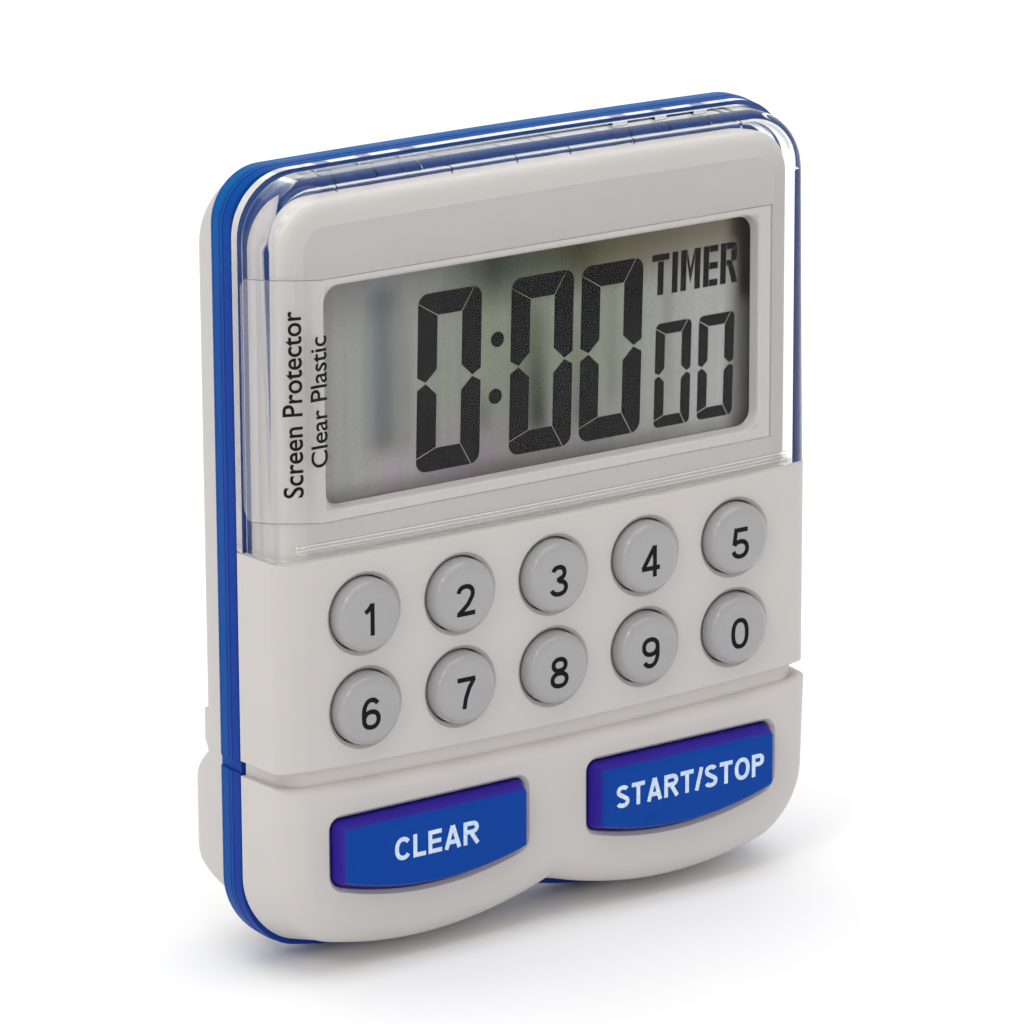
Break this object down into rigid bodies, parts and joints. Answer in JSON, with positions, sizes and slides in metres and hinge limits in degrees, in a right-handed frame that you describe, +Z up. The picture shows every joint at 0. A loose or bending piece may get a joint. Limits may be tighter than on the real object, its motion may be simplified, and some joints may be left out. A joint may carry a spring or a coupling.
{
  "type": "digital countdown timer",
  "caption": "Upright digital countdown timer with a wide display, round digit keys, two wide buttons, a magnetic back, a fold-down stand and a battery bay.",
  "frame": {"origin": "under the middle of the timer, at the height of its lowest edge", "axes": "+Z up the timer from its base to its top, +Y from its face to its back, +X to the reader's right"},
  "size_m": [0.0642, 0.021, 0.0793],
  "materials": {
    "shell_plastic": "fine satin texture, warm light grey",
    "blue_plastic": "satin",
    "button_plastic": "smooth",
    "key_plastic": "polished, slightly translucent",
    "clear_plastic": "clear and polished",
    "film": "thin clear film",
    "silicone": "soft silicone",
    "board": "solder-masked glass fibre",
    "epoxy": "cast resin",
    "steel": "nickel plated",
    "brass": "rolled sheet",
    "magnet": "sintered ferrite",
    "ceramic": "fired",
    "lcd_glass": "polished",
    "polariser": "smooth film",
    "reflector": "satin foil",
    "battery_sleeve": "printed sleeve, gloss",
    "red_sleeve": "extruded sleeve",
    "black_sleeve": "extruded sleeve"
  },
  "bodies": {
    "case": {"front_shell": "shell_plastic", "rear_shell": "shell_plastic", "mid_frame": "blue_plastic", "display_cover": "clear_plastic", "screen_film": "film", "keypad_mat": "silicone", "zebra_connector": "silicone", "circuit_board": "board", "controller_chip": "epoxy", "case_screw_1": "steel", "case_screw_2": "steel", "case_screw_3": "steel", "case_screw_4": "steel", "quartz_crystal": "steel", "battery_contact_plus": "steel", "battery_contact_minus": "steel", "battery_spring": "steel", "buzzer_disc": "brass", "buzzer_ceramic": "ceramic", "resistor": "ceramic", "magnet_1": "magnet", "magnet_2": "magnet", "lcd_glass": "lcd_glass", "lcd_polariser": "polariser", "lcd_reflector": "reflector", "battery": "battery_sleeve", "capacitor": "black_sleeve", "battery_wire_red": "red_sleeve", "battery_wire_black": "black_sleeve", "buzzer_wire_red": "red_sleeve", "buzzer_wire_black": "black_sleeve"},
    "key_1": {"key_1": "key_plastic"},
    "key_2": {"key_2": "key_plastic"},
    "key_3": {"key_3": "key_plastic"},
    "key_4": {"key_4": "key_plastic"},
    "key_5": {"key_5": "key_plastic"},
    "key_6": {"key_6": "key_plastic"},
    "key_7": {"key_7": "key_plastic"},
    "key_8": {"key_8": "key_plastic"},
    "key_9": {"key_9": "key_plastic"},
    "key_0": {"key_0": "key_plastic"},
    "key_clear": {"key_clear": "button_plastic"},
    "key_start_stop": {"key_start_stop": "button_plastic"},
    "battery_door": {"battery_door": "shell_plastic"},
    "stand": {"stand": "shell_plastic"}
  },
  "joints": [
    {"name": "key_1_press", "type": "slide", "parent": "case", "child": "key_1", "axis": [0, 1, 0], "range_m": [0, 0.0008], "stiffness_N_per_m": 200, "springref_m": -0.001},
    {"name": "key_2_press", "type": "slide", "parent": "case", "child": "key_2", "axis": [0, 1, 0], "range_m": [0, 0.0008], "stiffness_N_per_m": 200, "springref_m": -0.001},
    {"name": "key_3_press", "type": "slide", "parent": "case", "child": "key_3", "axis": [0, 1, 0], "range_m": [0, 0.0008], "stiffness_N_per_m": 200, "springref_m": -0.001},
    {"name": "key_4_press", "type": "slide", "parent": "case", "child": "key_4", "axis": [0, 1, 0], "range_m": [0, 0.0008], "stiffness_N_per_m": 200, "springref_m": -0.001},
    {"name": "key_5_press", "type": "slide", "parent": "case", "child": "key_5", "axis": [0, 1, 0], "range_m": [0, 0.0008], "stiffness_N_per_m": 200, "springref_m": -0.001},
    {"name": "key_6_press", "type": "slide", "parent": "case", "child": "key_6", "axis": [0, 1, 0], "range_m": [0, 0.0008], "stiffness_N_per_m": 200, "springref_m": -0.001},
    {"name": "key_7_press", "type": "slide", "parent": "case", "child": "key_7", "axis": [0, 1, 0], "range_m": [0, 0.0008], "stiffness_N_per_m": 200, "springref_m": -0.001},
    {"name": "key_8_press", "type": "slide", "parent": "case", "child": "key_8", "axis": [0, 1, 0], "range_m": [0, 0.0008], "stiffness_N_per_m": 200, "springref_m": -0.001},
    {"name": "key_9_press", "type": "slide", "parent": "case", "child": "key_9", "axis": [0, 1, 0], "range_m": [0, 0.0008], "stiffness_N_per_m": 200, "springref_m": -0.001},
    {"name": "key_0_press", "type": "slide", "parent": "case", "child": "key_0", "axis": [0, 1, 0], "range_m": [0, 0.0008], "stiffness_N_per_m": 200, "springref_m": -0.001},
    {"name": "key_clear_press", "type": "slide", "parent": "case", "child": "key_clear", "axis": [0, 1, 0], "range_m": [0, 0.0008], "stiffness_N_per_m": 200, "springref_m": -0.001},
    {"name": "key_start_stop_press", "type": "slide", "parent": "case", "child": "key_start_stop", "axis": [0, 1, 0], "range_m": [0, 0.0008], "stiffness_N_per_m": 200, "springref_m": -0.001},
    {"name": "battery_door_lift", "type": "slide", "parent": "case", "child": "battery_door", "axis": [0, 1, 0], "range_m": [0, 0.006]},
    {"name": "stand_hinge", "type": "hinge", "parent": "case", "child": "stand", "pos_m": [0, 0.00675, 0.0232], "axis": [-1, 0, 0], "range_deg": [0, 110]}
  ]
}
